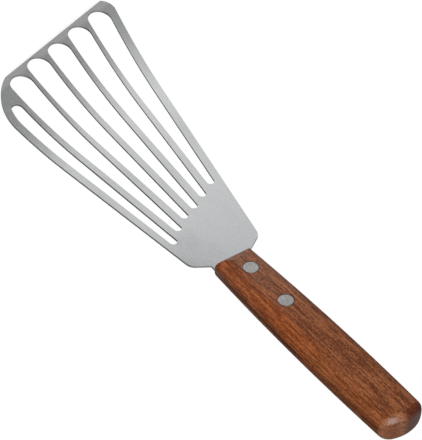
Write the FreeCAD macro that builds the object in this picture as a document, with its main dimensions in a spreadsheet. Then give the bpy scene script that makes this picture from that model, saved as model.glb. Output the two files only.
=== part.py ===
import FreeCAD, Part
import math
import os
import re
import Sketcher

# Fish spatula: a slotted, turned-up blade riveted into a sawn wooden handle.
# The drawing origin is the middle of the handle's front face, halfway through the blade's sheet.
# X runs to the right, Y from the butt to the tip, Z up. Lengths in millimetres, angles in degrees.
driving = {
    # Blade sheet, its bend and its leading edge
    "sheet_thickness": 1.0,
    "tip_reach": 145.65,
    "tip_rake_angle": 18.5,
    "bend_start": 91.3,
    "bend_radius": 190,
    "bevel_width": 1.35,
    "bevel_land": 0.25,
    # Blade outline: both long edges are measured at the handle's front
    "left_edge_offset": 15.53,
    "left_edge_angle": 6.32,
    "right_edge_offset": 17.31,
    "right_edge_angle": 12.45,
    "left_tip_radius": 29,
    "right_tip_radius": 6.1,
    "heel_radius": 5,
    "shoulder_angle": 32.5,
    "left_shoulder_root": 2.56,
    "right_shoulder_root": 0.36,
    "tang_length": 60,
    "tang_inset": 0.15,
    # Drain slots, numbered from the right, each ending a bar's width short of the leading edge
    "slot_near_radius": 1.72,
    "slot_far_radius": 5.62,
    "slot_1_offset": 13.6,
    "slot_1_angle": 10.31,
    "slot_1_start": 45.1,
    "slot_1_bar": 2.75,
    "slot_2_offset": 9.06,
    "slot_2_angle": 7.19,
    "slot_2_start": 40.6,
    "slot_2_bar": 2.5,
    "slot_3_offset": 4.32,
    "slot_3_angle": 3.91,
    "slot_3_start": 36.7,
    "slot_3_bar": 2.55,
    "slot_4_offset": -0.46,
    "slot_4_angle": 0.55,
    "slot_4_start": 33.8,
    "slot_4_bar": 1.95,
    "slot_5_offset": -5.68,
    "slot_5_angle": -2.57,
    "slot_5_start": 29.05,
    "slot_5_bar": 3.4,
    # The last slot follows the rounded left corner
    "slot_6_offset": -13.25,
    "slot_6_start": 23.45,
    "slot_6_angle": -4.2,
    "slot_6_far_radius": 2.65,
    "outer_rib": 3.6,
    # Handle
    "handle_length": 113.4,
    "handle_front_width": 18.2,
    "handle_butt_width": 21.2,
    "handle_swell": 1.25,
    "handle_front_thickness": 13.1,
    "handle_butt_thickness": 13.1,
    "edge_round": 6,
    "edge_round_limit_share": 0.95,
    "nose_round": 5,
    "nose_radius": 5.3,
    "butt_radius": 17,
    "butt_round": 4,
    "tang_end_gap": 2,
    "tang_slot_clearance": 0.1,
    # Two-part rivets, each set a share of the tang's length behind the front
    "front_rivet_share": 0.2067,
    "rear_rivet_share": 0.5975,
    "rivet_head_diameter": 6.72,
    "rivet_head_thickness": 1.2,
    "rivet_head_recess": 0.05,
    "rivet_head_round": 0.3,
    "rivet_tube_diameter": 4,
    "rivet_pin_diameter": 2.6,
    "rivet_clearance": 0.05,
    "rivet_end_gap": 0.5,
    # How far every cut runs past the solid, and how finely the rest pose is sampled
    "overrun": 10,
    "sampling": 0.02,
}
slot_count = 5
rivet_names = ("front_rivet", "rear_rivet")
side_radius = "(handle_length ^ 2 / 8 / handle_swell)"

doc = FreeCAD.newDocument("fish_spatula")
sheet = doc.addObject("Spreadsheet::Sheet", "dimensions")
for row, (alias, number) in enumerate(driving.items(), start=1):
    sheet.set(f"A{row}", alias)
    sheet.set(f"B{row}", str(number))
    sheet.setAlias(f"B{row}", alias)
doc.recompute()


def sized(expression):
    # Word aliases in a formula become references to the sheet's cells
    def cell(word):
        return f"dimensions.{word[0]}" if word[0] in driving else word[0]

    return re.sub(r"[a-z]\w*", cell, expression)


def worth(expression):
    # The present value of a formula, in millimetres or radians
    result = sheet.evalExpression(expression)
    if isinstance(result, FreeCAD.Units.Quantity):
        return math.radians(result.Value)
    return float(result)


def make_body(name):
    body = doc.addObject("PartDesign::Body", name)
    body.Label = name
    return body


class Draft:
    # A sketch in the making: its ties and sizes are set together once everything is drawn
    def __init__(self, body, name, plane_role):
        self.sketch = body.newObject("Sketcher::SketchObject", name)
        plane = [item for item in body.Origin.OriginFeatures if item.Role == plane_role][0]
        self.sketch.AttachmentSupport = [(plane, "")]
        self.sketch.MapMode = "FlatFace"
        self.ties = []
        self.formulas = {}

    def add(self, geometry):
        return self.sketch.addGeometry(geometry)

    def line(self, start, end):
        return self.add(Part.LineSegment(start, end))

    def tie(self, kind, *places):
        self.ties.append(Sketcher.Constraint(kind, *places))

    def size(self, expression, kind, *places):
        self.formulas[len(self.ties)] = expression
        self.tie(kind, *places, worth(expression))

    def point(self, geometry, end, x_size, y_size):
        self.size(x_size, "DistanceX", -1, 1, geometry, end)
        self.size(y_size, "DistanceY", -1, 1, geometry, end)

    def settle(self):
        self.sketch.addConstraint(self.ties)
        for number, expression in self.formulas.items():
            self.sketch.renameConstraint(number, f"size_{number}")
            self.sketch.setExpression(f"Constraints.size_{number}", sized(expression))
        doc.recompute()
        return self.sketch


def arc_about(centre, radius, start_way, end_way):
    # The arc about a centre that turns left from one direction to another
    first = math.atan2(start_way.y, start_way.x)
    last = math.atan2(end_way.y, end_way.x)
    if last < first:
        last += 2 * math.pi
    return Part.ArcOfCircle(Part.Circle(centre, FreeCAD.Vector(0, 0, 1), radius), first, last)


def arc_between(start, end, radius):
    # The short arc that turns left from start to end
    chord = end - start
    rise = math.sqrt(radius ** 2 - (chord.Length / 2) ** 2)
    left = FreeCAD.Vector(-chord.y, chord.x, 0).normalize()
    centre = (start + end) / 2 + left * rise
    return arc_about(centre, radius, start - centre, end - centre)


def draw_profile(draft, corners, arcs=None):
    # A closed outline through sized corners, with arcs on the numbered sides.
    # A side's arc is a radius that turns left, or right where "right" stands after it.
    arcs = arcs or {}
    points = [FreeCAD.Vector(worth(x_size), worth(y_size), 0) for x_size, y_size in corners]
    ends = []
    for side, start in enumerate(points):
        end = points[(side + 1) % len(points)]
        if side not in arcs:
            number = draft.add(Part.LineSegment(start, end))
            ends.append((number, 1, 2))
            continue
        radius, turn = arcs[side]
        if turn == "left":
            number = draft.add(arc_between(start, end, worth(radius)))
            ends.append((number, 1, 2))
        else:
            number = draft.add(arc_between(end, start, worth(radius)))
            ends.append((number, 2, 1))
        draft.size(radius, "Radius", number)
    for side, (x_size, y_size) in enumerate(corners):
        number, first, last = ends[side]
        before, before_first, before_last = ends[side - 1]
        draft.tie("Coincident", before, before_last, number, first)
        draft.point(number, first, x_size, y_size)


def add_feature(body, kind, name, draft, **settings):
    sketch = draft.settle()
    feature = body.newObject(f"PartDesign::{kind}", name)
    feature.Profile = sketch
    for key, setting in settings.items():
        setattr(feature, key, setting)
    sketch.Visibility = False
    doc.recompute()
    return feature


def cut_through(body, name, draft):
    before = body.Shape.Volume
    feature = add_feature(body, "Pocket", name, draft, SideType="Symmetric", Type="ThroughAll")
    if not feature.Shape.Volume < before:
        raise RuntimeError(f"{name} cuts nothing")
    return feature


def round_corner(before, corner, after, radius):
    # The arc that rounds a convex corner of an outline drawn with the solid on its left
    back = (before - corner).normalize()
    onward = (after - corner).normalize()
    half = back.getAngle(onward) / 2
    centre = corner + (back + onward).normalize() * (radius / math.sin(half))
    start = corner + back * (radius / math.tan(half))
    end = corner + onward * (radius / math.tan(half))
    arc = arc_about(centre, radius, start - centre, end - centre)
    return start, end, arc


def meet(point_a, angle_a, point_b, angle_b):
    # Where two lines cross, each given by a point and a direction
    along_a = FreeCAD.Vector(math.cos(angle_a), math.sin(angle_a), 0)
    along_b = FreeCAD.Vector(math.cos(angle_b), math.sin(angle_b), 0)
    between = point_b - point_a
    spread = along_a.x * along_b.y - along_a.y * along_b.x
    share = (between.x * along_b.y - between.y * along_b.x) / spread
    return point_a + along_a * share


def smooth_loop(draft, numbers):
    # Each piece of the loop runs into the next without a kink
    for place, number in enumerate(numbers):
        draft.tie("Tangent", numbers[place - 1], 2, number, 1)


def half_width(setback):
    # Half the handle's width at a distance behind its front, along its bowed side
    share = f"({setback} / handle_length)"
    taper = f"(handle_butt_width - handle_front_width) / 2 * {share}"
    return f"(handle_front_width / 2 + {taper} + 4 * handle_swell * {share} * (1 - {share}))"


def blade_outline(draft):
    # Outer edge of the blank, anticlockwise from the right side of the tang.
    # The tang's sides follow the handle's, a little inside them.
    root = "(handle_front_width / 2 - tang_inset)"
    end = f"({half_width('tang_length')} - tang_inset)"
    right_root = FreeCAD.Vector(worth(root), worth("right_shoulder_root"), 0)
    left_root = FreeCAD.Vector(worth(f"-{root}"), worth("left_shoulder_root"), 0)
    tang_right = FreeCAD.Vector(worth(end), worth("-tang_length"), 0)
    tang_left = FreeCAD.Vector(worth(f"-{end}"), worth("-tang_length"), 0)
    slope = worth("shoulder_angle * 1 deg")
    right_base = FreeCAD.Vector(worth("right_edge_offset"), 0, 0)
    right_way = worth("(90 - right_edge_angle) * 1 deg")
    left_base = FreeCAD.Vector(worth("-left_edge_offset"), 0, 0)
    left_way = worth("(left_edge_angle - 90) * 1 deg")
    lead_way = worth("(tip_rake_angle - 180) * 1 deg")
    lead_base = FreeCAD.Vector(math.sin(lead_way), -math.cos(lead_way), 0) * worth("tip_reach")

    right_heel = meet(right_root, slope, right_base, right_way)
    right_tip = meet(right_base, right_way, lead_base, lead_way)
    left_tip = meet(left_base, left_way, lead_base, lead_way)
    left_heel = meet(left_root, -slope, left_base, left_way)
    heel_radius = worth("heel_radius")
    right_radius = worth("right_tip_radius")
    left_radius = worth("left_tip_radius")
    heel_r_start, heel_r_end, heel_r = round_corner(right_root, right_heel, right_tip, heel_radius)
    tip_r_start, tip_r_end, tip_r = round_corner(right_heel, right_tip, left_tip, right_radius)
    tip_l_start, tip_l_end, tip_l = round_corner(right_tip, left_tip, left_heel, left_radius)
    heel_l_start, heel_l_end, heel_l = round_corner(left_tip, left_heel, left_root, heel_radius)

    right_side = draft.add(arc_between(tang_right, right_root, worth(side_radius)))
    right_shoulder = draft.line(right_root, heel_r_start)
    right_heel_arc = draft.add(heel_r)
    right_edge = draft.line(heel_r_end, tip_r_start)
    right_tip_arc = draft.add(tip_r)
    lead = draft.line(tip_r_end, tip_l_start)
    left_tip_arc = draft.add(tip_l)
    left_edge = draft.line(tip_l_end, heel_l_start)
    left_heel_arc = draft.add(heel_l)
    left_shoulder = draft.line(heel_l_end, left_root)
    left_side = draft.add(arc_between(left_root, tang_left, worth(side_radius)))
    tang_end = draft.line(tang_left, tang_right)

    rounded = (right_shoulder, right_heel_arc, right_edge, right_tip_arc, lead,
               left_tip_arc, left_edge, left_heel_arc, left_shoulder)
    for before, after in zip(rounded, rounded[1:]):
        draft.tie("Tangent", before, 2, after, 1)
    square = (left_shoulder, left_side, tang_end, right_side, right_shoulder)
    for before, after in zip(square, square[1:]):
        draft.tie("Coincident", before, 2, after, 1)
    draft.point(right_side, 1, end, "-tang_length")
    draft.point(right_side, 2, root, "right_shoulder_root")
    draft.point(left_side, 1, f"-{root}", "left_shoulder_root")
    draft.point(left_side, 2, f"-{end}", "-tang_length")
    draft.size(side_radius, "Radius", right_side)
    draft.size(side_radius, "Radius", left_side)
    draft.size("shoulder_angle * 1 deg", "Angle", right_shoulder)
    draft.size("-shoulder_angle * 1 deg", "Angle", left_shoulder)
    draft.size("(90 - right_edge_angle) * 1 deg", "Angle", right_edge)
    draft.size("(left_edge_angle - 90) * 1 deg", "Angle", left_edge)
    draft.size("(tip_rake_angle - 180) * 1 deg", "Angle", lead)
    draft.size("right_edge_offset * cos(right_edge_angle * 1 deg)", "Distance", -1, 1, right_edge)
    draft.size("left_edge_offset * cos(left_edge_angle * 1 deg)", "Distance", -1, 1, left_edge)
    draft.size("tip_reach", "Distance", -1, 1, lead)
    draft.size("heel_radius", "Radius", right_heel_arc)
    draft.size("heel_radius", "Radius", left_heel_arc)
    draft.size("right_tip_radius", "Radius", right_tip_arc)
    draft.size("left_tip_radius", "Radius", left_tip_arc)
    return lead, left_tip_arc


def wedge_slot(draft, number, lead):
    # A slot that widens towards the tip, round at both ends, along its own axis
    lean = worth(f"slot_{number}_angle * 1 deg")
    along = FreeCAD.Vector(math.sin(lean), math.cos(lean), 0)
    foot = FreeCAD.Vector(worth(f"slot_{number}_offset"), 0, 0)
    rake = worth("tip_rake_angle * 1 deg")
    reach = worth(f"tip_reach - slot_{number}_bar - slot_far_radius") + foot.x * math.sin(rake)
    near = foot + along * (worth(f"slot_{number}_start") / along.y)
    far = foot + along * (reach / math.cos(lean + rake))
    near_radius = worth("slot_near_radius")
    far_radius = worth("slot_far_radius")
    splay = math.asin((far_radius - near_radius) / (far - near).Length)
    right_normal = FreeCAD.Vector(math.cos(lean + splay), -math.sin(lean + splay), 0)
    left_normal = FreeCAD.Vector(-math.cos(lean - splay), math.sin(lean - splay), 0)

    axis = draft.line(foot, far)
    draft.sketch.setConstruction(axis, True)
    right = draft.line(near + right_normal * near_radius, far + right_normal * far_radius)
    far_arc = draft.add(arc_about(far, far_radius, right_normal, left_normal))
    left = draft.line(far + left_normal * far_radius, near + left_normal * near_radius)
    near_arc = draft.add(arc_about(near, near_radius, left_normal, right_normal))
    smooth_loop(draft, (right, far_arc, left, near_arc))
    draft.size(f"slot_{number}_offset", "DistanceX", -1, 1, axis, 1)
    draft.tie("PointOnObject", axis, 1, -1)
    draft.size(f"(90 - slot_{number}_angle) * 1 deg", "Angle", axis)
    draft.tie("Coincident", axis, 2, far_arc, 3)
    draft.tie("PointOnObject", near_arc, 3, axis)
    draft.size(f"slot_{number}_start", "DistanceY", -1, 1, near_arc, 3)
    draft.size(f"slot_{number}_bar + slot_far_radius", "Distance", far_arc, 3, lead)
    draft.size("slot_near_radius", "Radius", near_arc)
    draft.size("slot_far_radius", "Radius", far_arc)


def corner_slot(draft, left_tip_arc):
    # The last slot keeps an even rib along the left edge and round its corner
    number = slot_count + 1
    corner = draft.sketch.Geometry[left_tip_arc].Center
    wall_radius = worth("left_tip_radius - outer_rib")
    near = FreeCAD.Vector(worth(f"slot_{number}_offset"), worth(f"slot_{number}_start"), 0)
    near_radius = worth("slot_near_radius")
    far_radius = worth(f"slot_{number}_far_radius")
    lean = worth(f"slot_{number}_angle * 1 deg")
    along = FreeCAD.Vector(math.sin(lean), math.cos(lean), 0)
    right_normal = FreeCAD.Vector(along.y, -along.x, 0)
    right_foot = near + right_normal * near_radius

    # The far round touches the right side and the wall of the corner from inside
    track = right_foot - right_normal * far_radius - corner
    middle = track.dot(along)
    ahead = math.sqrt((wall_radius - far_radius) ** 2 - track.dot(track) + middle ** 2) - middle
    far = corner + track + along * ahead
    wall_normal = (far - corner).normalize()
    span = near - corner
    tilt = math.asin((wall_radius - near_radius) / span.Length)
    heading = math.atan2(span.y, span.x) - math.pi / 2 + tilt
    left_normal = FreeCAD.Vector(math.cos(heading), math.sin(heading), 0)

    right = draft.line(right_foot, far + right_normal * far_radius)
    far_arc = draft.add(arc_about(far, far_radius, right_normal, wall_normal))
    wall = draft.add(arc_about(corner, wall_radius, wall_normal, left_normal))
    left = draft.line(corner + left_normal * wall_radius, near + left_normal * near_radius)
    near_arc = draft.add(arc_about(near, near_radius, left_normal, right_normal))
    smooth_loop(draft, (right, far_arc, wall, left, near_arc))
    draft.point(near_arc, 3, f"slot_{number}_offset", f"slot_{number}_start")
    draft.tie("Coincident", wall, 3, left_tip_arc, 3)
    draft.size(f"(90 - slot_{number}_angle) * 1 deg", "Angle", right)
    draft.size("slot_near_radius", "Radius", near_arc)
    draft.size(f"slot_{number}_far_radius", "Radius", far_arc)
    draft.size("left_tip_radius - outer_rib", "Radius", wall)


def setback(rivet):
    # How far behind the handle's front a rivet stands
    return f"({rivet}_share * tang_length)"


def rivet_hole(draft, name):
    radius = "rivet_tube_diameter / 2 + rivet_clearance"
    centre = FreeCAD.Vector(0, worth(f"-{setback(name)}"), 0)
    hole = draft.add(Part.Circle(centre, FreeCAD.Vector(0, 0, 1), worth(radius)))
    draft.tie("PointOnObject", hole, 3, -2)
    draft.size(f"-{setback(name)}", "DistanceY", -1, 1, hole, 3)
    draft.size(radius, "Radius", hole)


def make_blade():
    # The slotted blank is drawn in plan, and everything above and below the bent sheet is cut away
    body = make_body("blade")
    blank = Draft(body, "blank_outline", "XY_Plane")
    lead, left_tip_arc = blade_outline(blank)
    for number in range(1, slot_count + 1):
        wedge_slot(blank, number, lead)
    corner_slot(blank, left_tip_arc)
    for name in rivet_names:
        rivet_hole(blank, name)
    slab = add_feature(body, "Pad", "blank", blank, SideType="Symmetric")
    slab.setExpression("Length", sized("2 * (tip_reach - bend_start)"))
    doc.recompute()

    # Bend lines and bevel run along the leading edge, so their section is turned by its rake
    bend = Draft(body, "bend_section", "YZ_Plane")
    rake = math.degrees(worth("tip_rake_angle * 1 deg"))
    turned = FreeCAD.Rotation(FreeCAD.Vector(0, 1, 0), rake)
    bend.sketch.AttachmentOffset = FreeCAD.Placement(FreeCAD.Vector(), turned)
    bend.sketch.setExpression("AttachmentOffset.Rotation.Angle", sized("tip_rake_angle * 1 deg"))
    back = "-tang_length - overrun"
    beyond = "tip_reach + overrun"
    height = "tip_reach - bend_start + overrun"
    inner = "(bend_radius - sheet_thickness / 2)"
    outer = "(bend_radius + sheet_thickness / 2)"
    crest = "(tip_reach - bevel_width - bend_start)"
    run = "(tip_reach - bend_start)"
    crest_height = f"(bend_radius - sqrt({inner} ^ 2 - {crest} ^ 2))"
    edge_height = f"(bend_radius - sqrt({outer} ^ 2 - {run} ^ 2) + bevel_land)"
    beyond_height = f"{edge_height} + ({edge_height} - {crest_height}) * overrun / bevel_width"
    draw_profile(bend, (
        (back, "sheet_thickness / 2"),
        ("bend_start", "sheet_thickness / 2"),
        ("tip_reach - bevel_width", crest_height),
        (beyond, beyond_height),
        (beyond, height),
        (back, height),
    ), {1: (inner, "left")})
    under_height = f"bend_radius - sqrt({outer} ^ 2 - (tip_reach + overrun - bend_start) ^ 2)"
    draw_profile(bend, (
        (back, f"-({height})"),
        (beyond, f"-({height})"),
        (beyond, under_height),
        ("bend_start", "-sheet_thickness / 2"),
        (back, "-sheet_thickness / 2"),
    ), {2: (outer, "right")})
    cut_through(body, "bend", bend)
    return body


def half_thickness(setback):
    # Half the handle's thickness at a distance behind its front
    taper = "(handle_butt_thickness - handle_front_thickness) / 2 / handle_length"
    return f"(handle_front_thickness / 2 + {taper} * ({setback}))"


def long_edges(shape):
    # The four edges that run along the handle
    chosen = []
    for number, edge in enumerate(shape.Edges, start=1):
        depths = [vertex.Y for vertex in edge.Vertexes]
        if max(depths) - min(depths) > worth("handle_length / 2"):
            chosen.append(f"Edge{number}")
    return chosen


def butt_edges(shape):
    # All edges of the face at the very end of the handle
    butt = min(shape.Faces, key=lambda face: face.CenterOfMass.y)
    chosen = []
    for number, edge in enumerate(shape.Edges, start=1):
        if any(edge.isSame(other) for other in butt.Edges):
            chosen.append(f"Edge{number}")
    return chosen


def round_edges(body, name, base, chosen, radius):
    rounding = body.newObject("PartDesign::Fillet", name)
    rounding.Base = (base, chosen)
    rounding.setExpression("Radius", sized(radius))
    doc.recompute()
    return rounding


def make_handle():
    body = make_body("handle")
    plan = Draft(body, "handle_plan", "XY_Plane")
    front = "handle_front_width / 2"
    butt = "handle_butt_width / 2"
    corner = "butt_radius - handle_length - sqrt(butt_radius ^ 2 - handle_butt_width ^ 2 / 4)"
    draw_profile(plan, ((front, "0"), (f"-{front}", "0"), (f"-{butt}", corner), (butt, corner)),
                 {1: (side_radius, "left"), 2: ("butt_radius", "left"), 3: (side_radius, "left")})
    block = add_feature(body, "Pad", "block", plan, SideType="Symmetric")
    block.setExpression("Length", sized("handle_butt_thickness + 2 * overrun"))
    doc.recompute()

    # Upper and lower faces draw together towards the front
    taper = Draft(body, "taper_section", "YZ_Plane")
    behind = "-handle_length - overrun"
    thick = half_thickness("handle_length + overrun")
    thin = half_thickness("-overrun")
    far = "handle_butt_thickness + 2 * overrun"
    draw_profile(taper, ((behind, thick), ("overrun", thin), ("overrun", far), (behind, far)))
    draw_profile(taper, ((behind, f"-{thick}"), (behind, f"-({far})"), ("overrun", f"-({far})"),
                         ("overrun", f"-{thin}")))
    tapered = cut_through(body, "taper", taper)

    # A thin handle's long edges are rounded no further than its faces allow
    thinnest = "min(handle_front_thickness, handle_butt_thickness)"
    side_round = f"min(edge_round, edge_round_limit_share * {thinnest} / 2)"
    sides = round_edges(body, "side_rounding", tapered, long_edges(tapered.Shape), side_round)
    round_edges(body, "butt_rounding", sides, butt_edges(sides.Shape), "butt_round")

    # The nose is rounded over across the whole width, above and below
    nose = Draft(body, "nose_section", "YZ_Plane")
    back_top = half_thickness("nose_round")
    front_top = f"{half_thickness('0')} - nose_round"
    draw_profile(nose, (("0", front_top), ("-nose_round", back_top), ("-nose_round", far),
                        ("overrun", far), ("overrun", front_top)), {0: ("nose_radius", "left")})
    draw_profile(nose, (("-nose_round", f"-{back_top}"), ("0", f"-({front_top})"),
                        ("overrun", f"-({front_top})"), ("overrun", f"-({far})"),
                        ("-nose_round", f"-({far})")), {0: ("nose_radius", "left")})
    cut_through(body, "nose", nose)

    slot = Draft(body, "tang_slot_section", "YZ_Plane")
    half_slot = "(sheet_thickness + tang_slot_clearance) / 2"
    back = "-tang_length - tang_end_gap"
    draw_profile(slot, ((back, f"-{half_slot}"), ("overrun", f"-{half_slot}"),
                        ("overrun", half_slot), (back, half_slot)))
    cut_through(body, "tang_slot", slot)

    for name in rivet_names:
        cut_rivet_seat(body, name)
    return body


def rivet_sketch(body, name, rivet):
    # A half section whose vertical axis is the rivet's own axis
    draft = Draft(body, name, "YZ_Plane")
    draft.sketch.setExpression("AttachmentOffset.Base.x", sized(f"-{setback(rivet)}"))
    return draft


def head_seat(rivet):
    return f"({half_thickness(setback(rivet))} - rivet_head_recess - rivet_head_thickness)"


def cut_rivet_seat(body, rivet):
    draft = rivet_sketch(body, f"{rivet}_seat_section", rivet)
    head = "rivet_head_diameter / 2 + rivet_clearance"
    tube = "rivet_tube_diameter / 2 + rivet_clearance"
    seat = head_seat(rivet)
    end = "handle_butt_thickness / 2 + overrun"
    draw_profile(draft, (("0", f"-({end})"), (head, f"-({end})"), (head, f"-{seat}"), (tube, f"-{seat}"),
                          (tube, seat), (head, seat), (head, end), ("0", end)))
    before = body.Shape.Volume
    axis = (draft.sketch, ["V_Axis"])
    groove = add_feature(body, "Groove", f"{rivet}_seat", draft, ReferenceAxis=axis)
    if not groove.Shape.Volume < before:
        raise RuntimeError(f"{rivet} has no seat")


def make_rivet_half(rivet, half):
    # The socket has the upper head and a tube, the post the lower head and a pin inside that tube
    body = make_body(f"{rivet}_{half}")
    draft = rivet_sketch(body, f"{rivet}_{half}_section", rivet)
    head = "rivet_head_diameter / 2"
    seat = head_seat(rivet)
    face = f"({seat} + rivet_head_thickness)"
    rim = f"({head} - rivet_head_round)"
    if half == "socket":
        bore = "rivet_pin_diameter / 2 + rivet_clearance"
        tube = "rivet_tube_diameter / 2"
        mouth = f"rivet_end_gap - {seat}"
        corners = (("0", seat), (bore, seat), (bore, mouth), (tube, mouth), (tube, seat), (head, seat),
                   (head, f"{face} - rivet_head_round"), (rim, face), ("0", face))
        rounded_side = 6
    else:
        pin = "rivet_pin_diameter / 2"
        tip = f"{seat} - rivet_end_gap"
        corners = (("0", f"-{face}"), (rim, f"-{face}"), (head, f"rivet_head_round - {face}"),
                   (head, f"-{seat}"), (pin, f"-{seat}"), (pin, tip), ("0", tip))
        rounded_side = 1
    draw_profile(draft, corners, {rounded_side: ("rivet_head_round", "left")})
    axis = (draft.sketch, ["V_Axis"])
    add_feature(body, "Revolution", f"{rivet}_{half}_turned", draft, ReferenceAxis=axis)
    return body


def rest_placement(blade, handle, parts):
    # At rest the tool tips forward until the blade's belly touches what the handle's nose rests on
    blade_points = blade.Shape.tessellate(worth("sampling"))[0]
    handle_points = handle.Shape.tessellate(worth("sampling"))[0]
    low, high = 0.0, math.pi / 4
    for step in range(50):
        pitch = (low + high) / 2
        lowest = [min(point.z * math.cos(pitch) - point.y * math.sin(pitch) for point in points)
                  for points in (blade_points, handle_points)]
        if lowest[0] > lowest[1]:
            low = pitch
        else:
            high = pitch
    turn = FreeCAD.Rotation(FreeCAD.Vector(1, 0, 0), -math.degrees(pitch))
    turned = Part.makeCompound([part.Shape for part in parts])
    turned.Placement = FreeCAD.Placement(FreeCAD.Vector(), turn)
    box = turned.optimalBoundingBox(False, False)
    base = FreeCAD.Vector(box.Center.x, box.Center.y, box.ZMin)
    return FreeCAD.Placement(-base, turn)


blade = make_blade()
handle = make_handle()
parts = [blade, handle]
for rivet in rivet_names:
    for half in ("socket", "post"):
        parts.append(make_rivet_half(rivet, half))
doc.recompute()

# The origin is under the middle of the whole tool, on the surface that it rests on
placement = rest_placement(blade, handle, parts)
for part in parts:
    part.Placement = placement
doc.recompute()

for item in doc.Objects:
    if "Invalid" in item.State or "Error" in item.State:
        raise RuntimeError(f"{item.Name} failed: {item.State}")
for part in parts:
    if part.Shape.isNull() or not part.Shape.isValid() or len(part.Shape.Solids) != 1:
        raise RuntimeError(f"{part.Label} is not one sound solid")

os.makedirs("parts", exist_ok=True)
for part in parts:
    part.Shape.exportStep(f"parts/{part.Label}.step")
    box = part.Shape.BoundBox
    print(f"{part.Label}: {part.Shape.Volume:.1f} mm3, "
          f"{box.XLength:.1f} x {box.YLength:.1f} x {box.ZLength:.1f} mm")
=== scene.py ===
import math
import bpy
from mathutils import Matrix, Vector

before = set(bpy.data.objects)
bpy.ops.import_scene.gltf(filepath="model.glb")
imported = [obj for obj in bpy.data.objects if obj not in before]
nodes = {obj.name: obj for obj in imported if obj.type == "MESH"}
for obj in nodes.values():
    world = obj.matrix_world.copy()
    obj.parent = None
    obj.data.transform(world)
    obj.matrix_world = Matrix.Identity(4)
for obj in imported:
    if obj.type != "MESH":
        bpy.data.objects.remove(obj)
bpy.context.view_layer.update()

print("frame loaded:", ", ".join(sorted(nodes)))

# The drawing's origin is the middle of the handle's front face, halfway through the sheet
restPose = {
    "origin": (-0.012074, -0.027887, 0.006293),
    "pitch": -2.8541,  # degrees about X, the blade's belly and the handle's nose both touch the floor
    "unit": (0.001, 0.001, 0.001),  # the drawing is in millimetres
}


class Wire:
    # a node's socket that takes plain arithmetic
    def __init__(self, finish, socket):
        self.finish = finish
        self.socket = socket

    def __add__(self, other):
        return self.finish.maths("ADD", self, other)

    def __radd__(self, other):
        return self.finish.maths("ADD", other, self)

    def __sub__(self, other):
        return self.finish.maths("SUBTRACT", self, other)

    def __rsub__(self, other):
        return self.finish.maths("SUBTRACT", other, self)

    def __mul__(self, other):
        return self.finish.maths("MULTIPLY", self, other)

    def __rmul__(self, other):
        return self.finish.maths("MULTIPLY", other, self)

    def __truediv__(self, other):
        return self.finish.maths("DIVIDE", self, other)

    def __rtruediv__(self, other):
        return self.finish.maths("DIVIDE", other, self)

    def __pow__(self, other):
        return self.finish.maths("POWER", self, other)

    def __abs__(self):
        return self.finish.maths("ABSOLUTE", self)


def reach(across, along):
    # how far a point is from the place where both are 0
    return (across * across + along * along) ** 0.5


def centred(noise):
    # a noise lies about a half, this one about 0
    return noise - 0.5


class Finish:
    # one material, or the world, and its nodes
    def __init__(self, name, kept=bpy.data.materials):
        self.made = kept.new(name)
        self.made.use_nodes = True
        self.tree = self.made.node_tree
        self.tree.nodes.clear()

    def node(self, kind, settings, inputs, output=0):
        made = self.tree.nodes.new(kind)
        for key, setting in settings.items():
            if key == "stops":
                elements = made.color_ramp.elements  # a new ramp has two
                for index, (position, colour) in enumerate(setting):
                    stop = elements[index] if index < 2 else elements.new(position)
                    stop.position = position
                    stop.color = colour
            else:
                setattr(made, key, setting)
        for key, given in inputs.items():
            if isinstance(given, Wire):
                self.tree.links.new(given.socket, made.inputs[key])
            else:
                made.inputs[key].default_value = given
        return Wire(self, made.outputs[output]) if made.outputs else None

    def maths(self, operation, *values):
        return self.node("ShaderNodeMath", {"operation": operation}, dict(enumerate(values)))

    def vectors(self, operation, one, other, output=0):
        settings = {"operation": operation}
        return self.node("ShaderNodeVectorMath", settings, {0: one, 1: other}, output)

    def stretch(self, vector, scale):
        return self.vectors("MULTIPLY", vector, scale)

    def shift(self, vector, offset):
        return self.vectors("ADD", vector, offset)

    def towards(self, vector, direction):
        # 1 along the direction, 0 square to it
        return self.vectors("DOT_PRODUCT", vector, direction, "Value")

    def blend(self, factor, under, over, mode="MIX"):
        # a Mix node takes its colours on sockets 6 and 7, and gives their mix on 2
        settings = {"data_type": "RGBA", "blend_type": mode}
        return self.node("ShaderNodeMix", settings, {0: factor, 6: under, 7: over}, 2)

    def axes(self, vector):
        return [self.node("ShaderNodeSeparateXYZ", {}, {0: vector}, axis) for axis in range(3)]

    def facing(self):
        # the surface's own direction, before any bump
        return self.axes(self.node("ShaderNodeNewGeometry", {}, {}, "Normal"))

    def noise(self, vector, scale, detail, roughness):
        return self.node("ShaderNodeTexNoise", {}, {
            "Vector": self.stretch(vector, scale), "Scale": 1.0,
            "Detail": detail, "Roughness": roughness})

    def rise(self, value, low, high):
        # 0 below low, 1 above high, smooth between; low may be the larger one
        settings = {"interpolation_type": "SMOOTHSTEP"}
        if low > high:
            return 1.0 - self.rise(value, high, low)
        return self.node("ShaderNodeMapRange", settings, {
            "Value": value, "From Min": low, "From Max": high})

    def drawingPlace(self):
        # millimetres in the drawing's own frame
        place = self.node("ShaderNodeTexCoord", {}, {}, "Object")
        return self.node("ShaderNodeMapping", {"vector_type": "TEXTURE"}, {
            "Vector": place, "Location": restPose["origin"],
            "Rotation": (math.radians(restPose["pitch"]), 0, 0), "Scale": restPose["unit"]})

    def bump(self, height, strength, distance):
        return self.node("ShaderNodeBump", {}, {
            "Height": height, "Strength": strength, "Distance": distance})

    def show(self, shader, output="ShaderNodeOutputMaterial"):
        self.node(output, {}, {"Surface": shader})
        return self.made

    def surface(self, inputs):
        return self.show(self.node("ShaderNodeBsdfPrincipled", {}, inputs))


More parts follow.
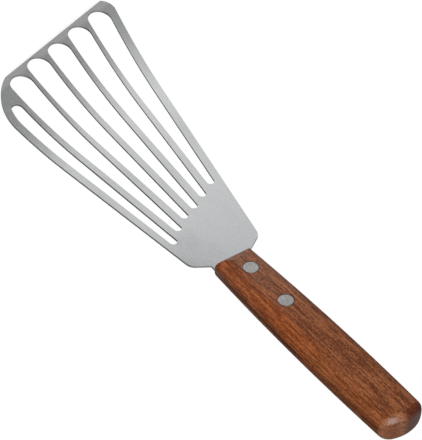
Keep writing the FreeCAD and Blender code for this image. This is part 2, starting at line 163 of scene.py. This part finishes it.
# In the finishes, a pattern is its scale for each mm along X, Y and Z, its detail and its roughness.
# A fade is a pair of places in mm, from where something starts to where it is full.
# A slope is such a pair for how far the surface faces up, or towards the tip.

# Blade: satin stainless sheet with lengthwise grain, greyer sheared edges and a bright ground bevel
bladeSteel = {
    "bright": (0.672, 0.686, 0.693, 1), "dull": (0.514, 0.525, 0.532, 1),
    "edge": (0.46, 0.45, 0.44, 1), "wallGlint": (0.95, 0.95, 0.95, 1),
    "ground": (0.95, 0.95, 0.95, 1), "seamShade": (0.07, 0.045, 0.03, 1),
    "roughness": 0.27, "edgeRoughness": 0.45, "groundRoughness": 0.22,
    "grain": ((2.6, 0.05, 2.6), 4.0, 0.62),
    "haze": ((0.07, 0.045, 0.07), 3.0, 0.55),
    "mottle": ((0.9, 0.7, 0.9), 3.0, 0.6),
    "grainShine": 0.34, "mottleShine": 0.34, "hazeShine": 0.36,
    "rightShine": 0.0015,  # for each mm to the right
    "shineRange": (0.28, 0.68),  # from dull to bright
    "grainRough": 0.12, "mottleRough": 0.1,
    "grainRelief": 0.7, "mottleRelief": 0.3, "reliefStrength": 0.16, "reliefDepth": 0.00004,
    "shearedSlope": (0.85, 0.55), "wallGlintSlope": (-0.35, -0.85),
    "rake": 18.5, "bevelLine": 144.3,  # leading edge's slant in degrees, and where its bevel starts
    "bevelFade": (-0.1, 0.1), "bevelSlope": (0.5, 0.7),
    "stripFade": (-5.0, -2.0), "stripShare": 0.55,
    "broadFade": (62.0, 38.0), "broadShine": 0.16,
    "heelFade": (30.0, 6.0), "heelDull": 0.1, "heelDullLeft": 0.012,
    "patchAt": (-9.5, 22.0), "patchFade": (11.0, 0.0), "patchDull": 0.12,
    "heldFade": (2.0, -14.0), "heldShare": 0.8, "heldGrain": 0.3,
}


def makeBladeSteel():
    look = bladeSteel
    steel = Finish("blade_steel")
    place = steel.drawingPlace()
    x, y, _ = steel.axes(place)
    _, forward, upward = steel.facing()
    grain, haze, mottle = [steel.noise(place, *look[name]) for name in ("grain", "haze", "mottle")]
    sheared = steel.rise(abs(upward), *look["shearedSlope"])
    rake = math.radians(look["rake"])
    pastLine = y * math.cos(rake) - x * math.sin(rake) - look["bevelLine"]
    ground = steel.rise(pastLine, *look["bevelFade"]) * steel.rise(upward, *look["bevelSlope"])
    # grinding polishes a narrow strip behind the bevel
    strip = steel.rise(pastLine, *look["stripFade"])
    # painted shade in the steel's reflection darkens the heel beside the handle, most on its left, with a
    # soft round patch
    heel = steel.rise(y, *look["heelFade"]) * (look["heelDull"] - x * look["heelDullLeft"])
    fromPatch = reach(x - look["patchAt"][0], y - look["patchAt"][1])
    heel = heel + steel.rise(fromPatch, *look["patchFade"]) * look["patchDull"]
    # the broad part shines more than the bars between the slots
    broad = steel.rise(y, *look["broadFade"]) * look["broadShine"]
    # painted shade: the tang's edge is painted dark brown where it lies in the seam between the wood
    held = steel.rise(y, *look["heldFade"]) * (look["heldShare"] + grain * look["heldGrain"])

    shine = grain * look["grainShine"] + mottle * look["mottleShine"] + haze * look["hazeShine"]
    shine = shine + broad - heel + x * look["rightShine"]
    tone = steel.blend(steel.rise(shine, *look["shineRange"]), look["dull"], look["bright"])
    tone = steel.blend(strip * look["stripShare"], tone, look["ground"])
    tone = steel.blend(ground, tone, look["ground"])
    # painted reflection: the sheared walls that face the handle are painted nearly white, the others keep
    # the greyer edge tone
    walls = steel.blend(steel.rise(forward, *look["wallGlintSlope"]), look["edge"], look["wallGlint"])
    tone = steel.blend(sheared, tone, walls)
    tone = steel.blend(held, tone, look["seamShade"])
    rough = look["roughness"] + centred(grain) * look["grainRough"] + centred(mottle) * look["mottleRough"]
    rough = rough + ground * (look["groundRoughness"] - look["roughness"])
    rough = rough + sheared * (look["edgeRoughness"] - look["roughness"])
    height = grain * look["grainRelief"] + mottle * look["mottleRelief"]
    relief = steel.bump(height, look["reliefStrength"], look["reliefDepth"])
    return steel.surface({"Base Color": tone, "Metallic": 1.0, "Roughness": rough, "Normal": relief})


# Handle: close-grained red-brown hardwood under a clear lacquer
handleWood = {
    "deep": (0.088, 0.02, 0.0025, 1), "mid": (0.167, 0.0445, 0.0115, 1),
    "light": (0.281, 0.094, 0.032, 1),
    "deepAt": 0.24, "midAt": 0.5, "lightAt": 0.78,  # the warmth of each tone
    "pore": (0.03, 0.011, 0.006, 1), "shadeBrown": (0.02, 0.01, 0.006, 1),
    "glow": (1.04, 0.9, 0.7, 1),  # this one and the next two multiply the tone
    "buttLight": (1.28, 1.4, 1.34, 1), "buttShade": (0.52, 0.38, 0.3, 1),
    "plankShift": (36.0, 700.0, 15.0),  # where in the plank the handle was cut, in mm
    "sway": ((0.16, 0.018, 0.16), 3.0, 0.5),
    "drift": ((0.12, 0.014, 0.12), 2.0, 0.5),
    "streak": ((0.55, 0.024, 0.55), 3.0, 0.6),
    "fibre": ((1.5, 0.085, 1.5), 4.0, 0.7),
    "grit": ((2.6, 0.7, 2.6), 2.0, 0.6),
    "fineRange": (0.3, 0.7),  # sharpens the fibre and the grit
    "pith": (-9.0, -26.0), "ringSpacing": 2.1, "ringSway": 7.0,  # in mm
    "lateStart": (0.5, 0.9), "lateEnd": (1.0, 0.93),  # shares of a ring
    "poreCells": (1.7, 0.3, 1.7), "poreSize": (0.3, 0.12), "poreStreak": (0.4, 0.6), "poreShare": 0.32,
    "fibreFigure": 0.72, "gritFigure": 0.52, "streakFigure": 0.26, "figureMiddle": 0.76,
    "figureGain": 1.3, "figureLossLeft": 0.55, "figureLossButt": 0.45,
    "warmth": 0.33, "driftWarmth": 0.35, "lateWarmth": -0.14, "rightWarmth": -0.002,
    "leftFade": (-2.5, -6.5), "leftPale": 0.04,
    "rightFade": (1.5, 6.5), "rightPale": 0.14,
    "rearFade": (-76.0, -100.0), "rearPale": 0.08, "rearDarkLeft": 0.15, "rearDarkRight": 0.18,
    "glowFade": (-80.0, -50.0),
    "buttSlope": (-0.06, -0.3), "sawnSlope": (-0.78, -0.96), "buttRightFade": (-3.0, 1.5),
    "sideFade": (4.5, 0.5), "sideShade": 0.34,
    "rivetsAt": (-12.402, -35.85), "seatRadius": 3.41, "seatFade": (0.5, 0.05), "seatShade": 0.5,
    "lacquer": 0.23, "sideWear": 0.18, "poreWear": 0.08, "buttLacquer": 0.72,
    "frontFade": (-55.0, -10.0), "frontLacquer": 0.17,
    "shoulderFade": (4.0, 7.0), "shoulderLacquer": 0.3,
    "lacquerRoughness": 0.15, "lacquerIor": 2.0, "specular": 0.05,
    "roughness": 0.45, "fibreRough": 0.1, "poreRough": 0.15,
    "fibreRelief": 0.35, "lateRelief": 0.15, "reliefStrength": 0.25, "reliefDepth": 0.00005,
}


def makeHandleWood():
    look = handleWood
    wood = Finish("handle_wood")
    place = wood.drawingPlace()
    x, y, z = wood.axes(place)
    _, forward, _ = wood.facing()
    plank = wood.shift(place, look["plankShift"])
    sway, drift, streak = [wood.noise(plank, *look[name]) for name in ("sway", "drift", "streak")]
    fibre = wood.rise(wood.noise(plank, *look["fibre"]), *look["fineRange"])
    grit = wood.rise(wood.noise(plank, *look["grit"]), *look["fineRange"])

    # growth rings about a pith below the board, pulled about by slow noise
    radius = reach(x - look["pith"][0], z - look["pith"][1])
    ring = wood.maths("FRACT", (radius + sway * look["ringSway"]) / look["ringSpacing"])
    lateWood = wood.rise(ring, *look["lateStart"]) * wood.rise(ring, *look["lateEnd"])

    # vessels cut lengthwise show as short dark dashes, cut across as dots
    cells = wood.node("ShaderNodeTexVoronoi", {}, {
        "Vector": wood.stretch(plank, look["poreCells"]), "Scale": 1.0, "Randomness": 1.0})
    pores = wood.rise(cells, *look["poreSize"]) * wood.rise(streak, *look["poreStreak"])

    # the left edge and the butt were sanded smoothest, so their figure is faint
    left = wood.rise(x, *look["leftFade"])
    butt = wood.rise(forward, *look["buttSlope"])
    figure = fibre * look["fibreFigure"] + grit * look["gritFigure"] + streak * look["streakFigure"]
    figure = (figure - look["figureMiddle"]) * (look["figureGain"] - left * look["figureLossLeft"])
    figure = figure * (1.0 - butt * look["figureLossButt"])
    warmth = look["warmth"] + drift * look["driftWarmth"] + figure
    warmth = warmth + lateWood * look["lateWarmth"] + x * look["rightWarmth"]
    # painted light: paler along both edges, the lit left side and the right side lifted out of its
    # falloff, but not near the butt
    rear = wood.rise(y, *look["rearFade"])
    right = wood.rise(x, *look["rightFade"])
    warmth = warmth + left * look["leftPale"] + right * (look["rightPale"] - rear * look["rearDarkRight"])
    warmth = warmth + rear * (look["rearPale"] - left * look["rearDarkLeft"])
    tone = wood.node("ShaderNodeValToRGB", {"stops": (
        (look["deepAt"], look["deep"]), (look["lightAt"], look["light"]),
        (look["midAt"], look["mid"]))}, {"Fac": warmth})
    tone = wood.blend(pores * look["poreShare"], tone, look["pore"])
    # painted shade: the front of the left edge is multiplied redder and darker, as it catches less grey
    # sheen than the top
    tone = wood.blend(left * wood.rise(y, *look["glowFade"]), tone, look["glow"], "MULTIPLY")

    # painted light and shade on the rounded butt: its left is multiplied lighter and greyer, its right
    # darkest
    buttRight = wood.rise(x, *look["buttRightFade"])
    tone = wood.blend(butt, tone, wood.blend(buttRight, look["buttLight"], look["buttShade"]), "MULTIPLY")
    # painted shade darkens the sides along the tang, and the hand has worn their lacquer
    side = wood.rise(abs(z), *look["sideFade"]) * (1.0 - butt)
    tone = wood.blend(side * look["sideShade"], tone, look["shadeBrown"])
    # painted shade: a thin dark ring round each rivet, where its seat's gap would be shaded
    for seat in look["rivetsAt"]:
        seatShadow = wood.rise(reach(x, y - seat) - look["seatRadius"], *look["seatFade"])
        tone = wood.blend(seatShadow * look["seatShade"], tone, look["shadeBrown"])

    # the butt was dipped once more, so its lacquer is thicker, but for its worn right shoulder
    sawn = wood.rise(forward, *look["sawnSlope"])
    dipped = butt * (1.0 - buttRight * (1.0 - sawn))
    lacquer = look["lacquer"] - side * look["sideWear"] - pores * look["poreWear"]
    lacquer = lacquer + dipped * look["buttLacquer"]
    shoulder = wood.rise(x, *look["shoulderFade"]) * look["shoulderLacquer"]
    lacquer = lacquer + wood.rise(y, *look["frontFade"]) * (look["frontLacquer"] + shoulder)
    rough = look["roughness"] + centred(fibre) * look["fibreRough"] + pores * look["poreRough"]
    height = fibre * look["fibreRelief"] - pores - lateWood * look["lateRelief"]
    relief = wood.bump(height, look["reliefStrength"], look["reliefDepth"])
    return wood.surface({
        "Base Color": tone, "Roughness": rough, "Normal": relief, "Coat Weight": lacquer,
        "Coat Roughness": look["lacquerRoughness"], "Coat IOR": look["lacquerIor"],
        "Specular IOR Level": look["specular"]})


# Rivets: satin heads with fine cross scratches
rivetMetal = {
    "bright": (0.63, 0.63, 0.625, 1), "dull": (0.39, 0.39, 0.385, 1),
    "scratch": ((2.4, 0.4, 2.4), 4.0, 0.65),
    "cross": ((0.5, 2.6, 2.4), 3.0, 0.6),
    "scratchShine": 0.6, "crossShine": 0.4, "shineRange": (0.35, 0.65),
    "roughness": 0.3, "scratchRough": 0.2,
    "crossRelief": 0.5, "reliefStrength": 0.2, "reliefDepth": 0.00004,
}


def makeRivetMetal():
    look = rivetMetal
    metal = Finish("rivet_metal")
    place = metal.drawingPlace()
    scratch, cross = [metal.noise(place, *look[name]) for name in ("scratch", "cross")]
    shine = scratch * look["scratchShine"] + cross * look["crossShine"]
    tone = metal.blend(metal.rise(shine, *look["shineRange"]), look["dull"], look["bright"])
    rough = look["roughness"] + centred(scratch) * look["scratchRough"]
    height = scratch + cross * look["crossRelief"]
    relief = metal.bump(height, look["reliefStrength"], look["reliefDepth"])
    return metal.surface({"Base Color": tone, "Metallic": 1.0, "Roughness": rough, "Normal": relief})


finishes = {"blade": makeBladeSteel(), "handle": makeHandleWood(), "rivet": makeRivetMetal()}
for name, node in nodes.items():
    kind = "rivet" if "rivet" in name else name
    node.data.materials.clear()
    node.data.materials.append(finishes[kind])
print("finishes made:", ", ".join(finish.name for finish in finishes.values()))


# Camera at the photograph's angle, in degrees, metres and, for the lens, millimetres
cameraView = {
    "azimuth": -39.0721, "elevation": 44.7182, "roll": 4.0802,
    "aim": (-0.013511, -0.013723, 0.019546), "distance": 1.0,
    "lens": 198.24, "sensor": 36.0, "nearest": 0.01, "farthest": 50.0,
}


def addCamera():
    azimuth, elevation, roll = [
        math.radians(cameraView[key]) for key in ("azimuth", "elevation", "roll")]
    back = Vector((
        math.sin(azimuth) * math.cos(elevation),
        -math.cos(azimuth) * math.cos(elevation),
        math.sin(elevation)))
    level = Vector((math.cos(azimuth), math.sin(azimuth), 0))
    upright = back.cross(level)
    right = level * math.cos(roll) + upright * math.sin(roll)
    up = upright * math.cos(roll) - level * math.sin(roll)
    camera = bpy.data.objects.new("camera", bpy.data.cameras.new("camera"))
    camera.data.lens = cameraView["lens"]
    camera.data.sensor_width = cameraView["sensor"]
    camera.data.clip_start = cameraView["nearest"]
    camera.data.clip_end = cameraView["farthest"]
    place = Vector(cameraView["aim"]) + back * cameraView["distance"]
    turned = Matrix((right, up, back)).transposed().to_4x4()
    camera.matrix_world = Matrix.Translation(place) @ turned
    bpy.context.scene.collection.objects.link(camera)
    bpy.context.scene.camera = camera


# Studio: white floor, even sky with a dark flag at the far left and a glow at the near end, and soft boxes
studio = {
    "floor": (0.22, 0.22, 0.22, 1), "floorWhite": 1.05, "floorShare": 0.95, "floorSize": 8.0,
    "skyColour": (1, 1, 1, 1), "sky": 0.35,
    "flagged": 0.26, "flagMiddle": (-0.70, 0.62, 0.35), "flagEdge": (0.93, 0.6),
    "nearGlow": 0.22, "nearMiddle": (-0.35, -0.85, 0.39), "nearEdge": (0.5, 0.9),
    # direction to the box, distance, width, height, radiance, seen in reflections
    "boxes": {
        "farBox": ((0.165, 0.89, 0.423), 1.6, 2.0, 1.23, 0.67, True),
        "keyBox": ((-0.70, -0.22, 0.68), 1.7, 1.8, 1.8, 2.8, False),
        "endBox": ((-0.25, -0.75, 0.60), 1.5, 1.2, 1.8, 1.0, True),
    },
}


def addFloor():
    bpy.ops.object.select_all(action="DESELECT")
    bpy.ops.mesh.primitive_plane_add(size=studio["floorSize"], location=(0, 0, 0))
    floor = bpy.context.object
    floor.name = "floor"
    # seen directly the floor is nearly plain white, in reflections it is lit paint with its shadows
    paint = Finish("floor_paint")
    seen = paint.node("ShaderNodeLightPath", {}, {}, "Is Camera Ray")
    matt = paint.node("ShaderNodeBsdfDiffuse", {}, {"Color": studio["floor"]})
    white = paint.node("ShaderNodeEmission", {}, {"Strength": studio["floorWhite"]})
    mixed = paint.node("ShaderNodeMixShader", {}, {0: seen * studio["floorShare"], 1: matt, 2: white})
    floor.data.materials.append(paint.show(mixed))


def addLight():
    sky = Finish("studio", bpy.data.worlds)
    way = sky.node("ShaderNodeTexCoord", {}, {}, "Generated")
    clear = sky.rise(sky.towards(way, studio["flagMiddle"]), *studio["flagEdge"])
    near = sky.rise(sky.towards(way, studio["nearMiddle"]), *studio["nearEdge"])
    strength = studio["flagged"] + clear * (studio["sky"] - studio["flagged"]) + near * studio["nearGlow"]
    glow = sky.node("ShaderNodeBackground", {}, {"Color": studio["skyColour"], "Strength": strength})
    bpy.context.scene.world = sky.show(glow, "ShaderNodeOutputWorld")
    for name, (aimed, distance, width, height, radiance, mirrored) in studio["boxes"].items():
        light = bpy.data.objects.new(name, bpy.data.lights.new(name, "AREA"))
        light.data.shape = "RECTANGLE"
        light.data.size = width
        light.data.size_y = height
        light.data.energy = radiance * math.pi * width * height
        direction = Vector(aimed).normalized()
        light.location = direction * distance
        light.rotation_euler = direction.to_track_quat("Z", "Y").to_euler()
        light.visible_glossy = mirrored
        bpy.context.scene.collection.objects.link(light)
    bpy.context.scene.view_settings.view_transform = "Standard"


addCamera()
addFloor()
addLight()
print("camera and studio set")
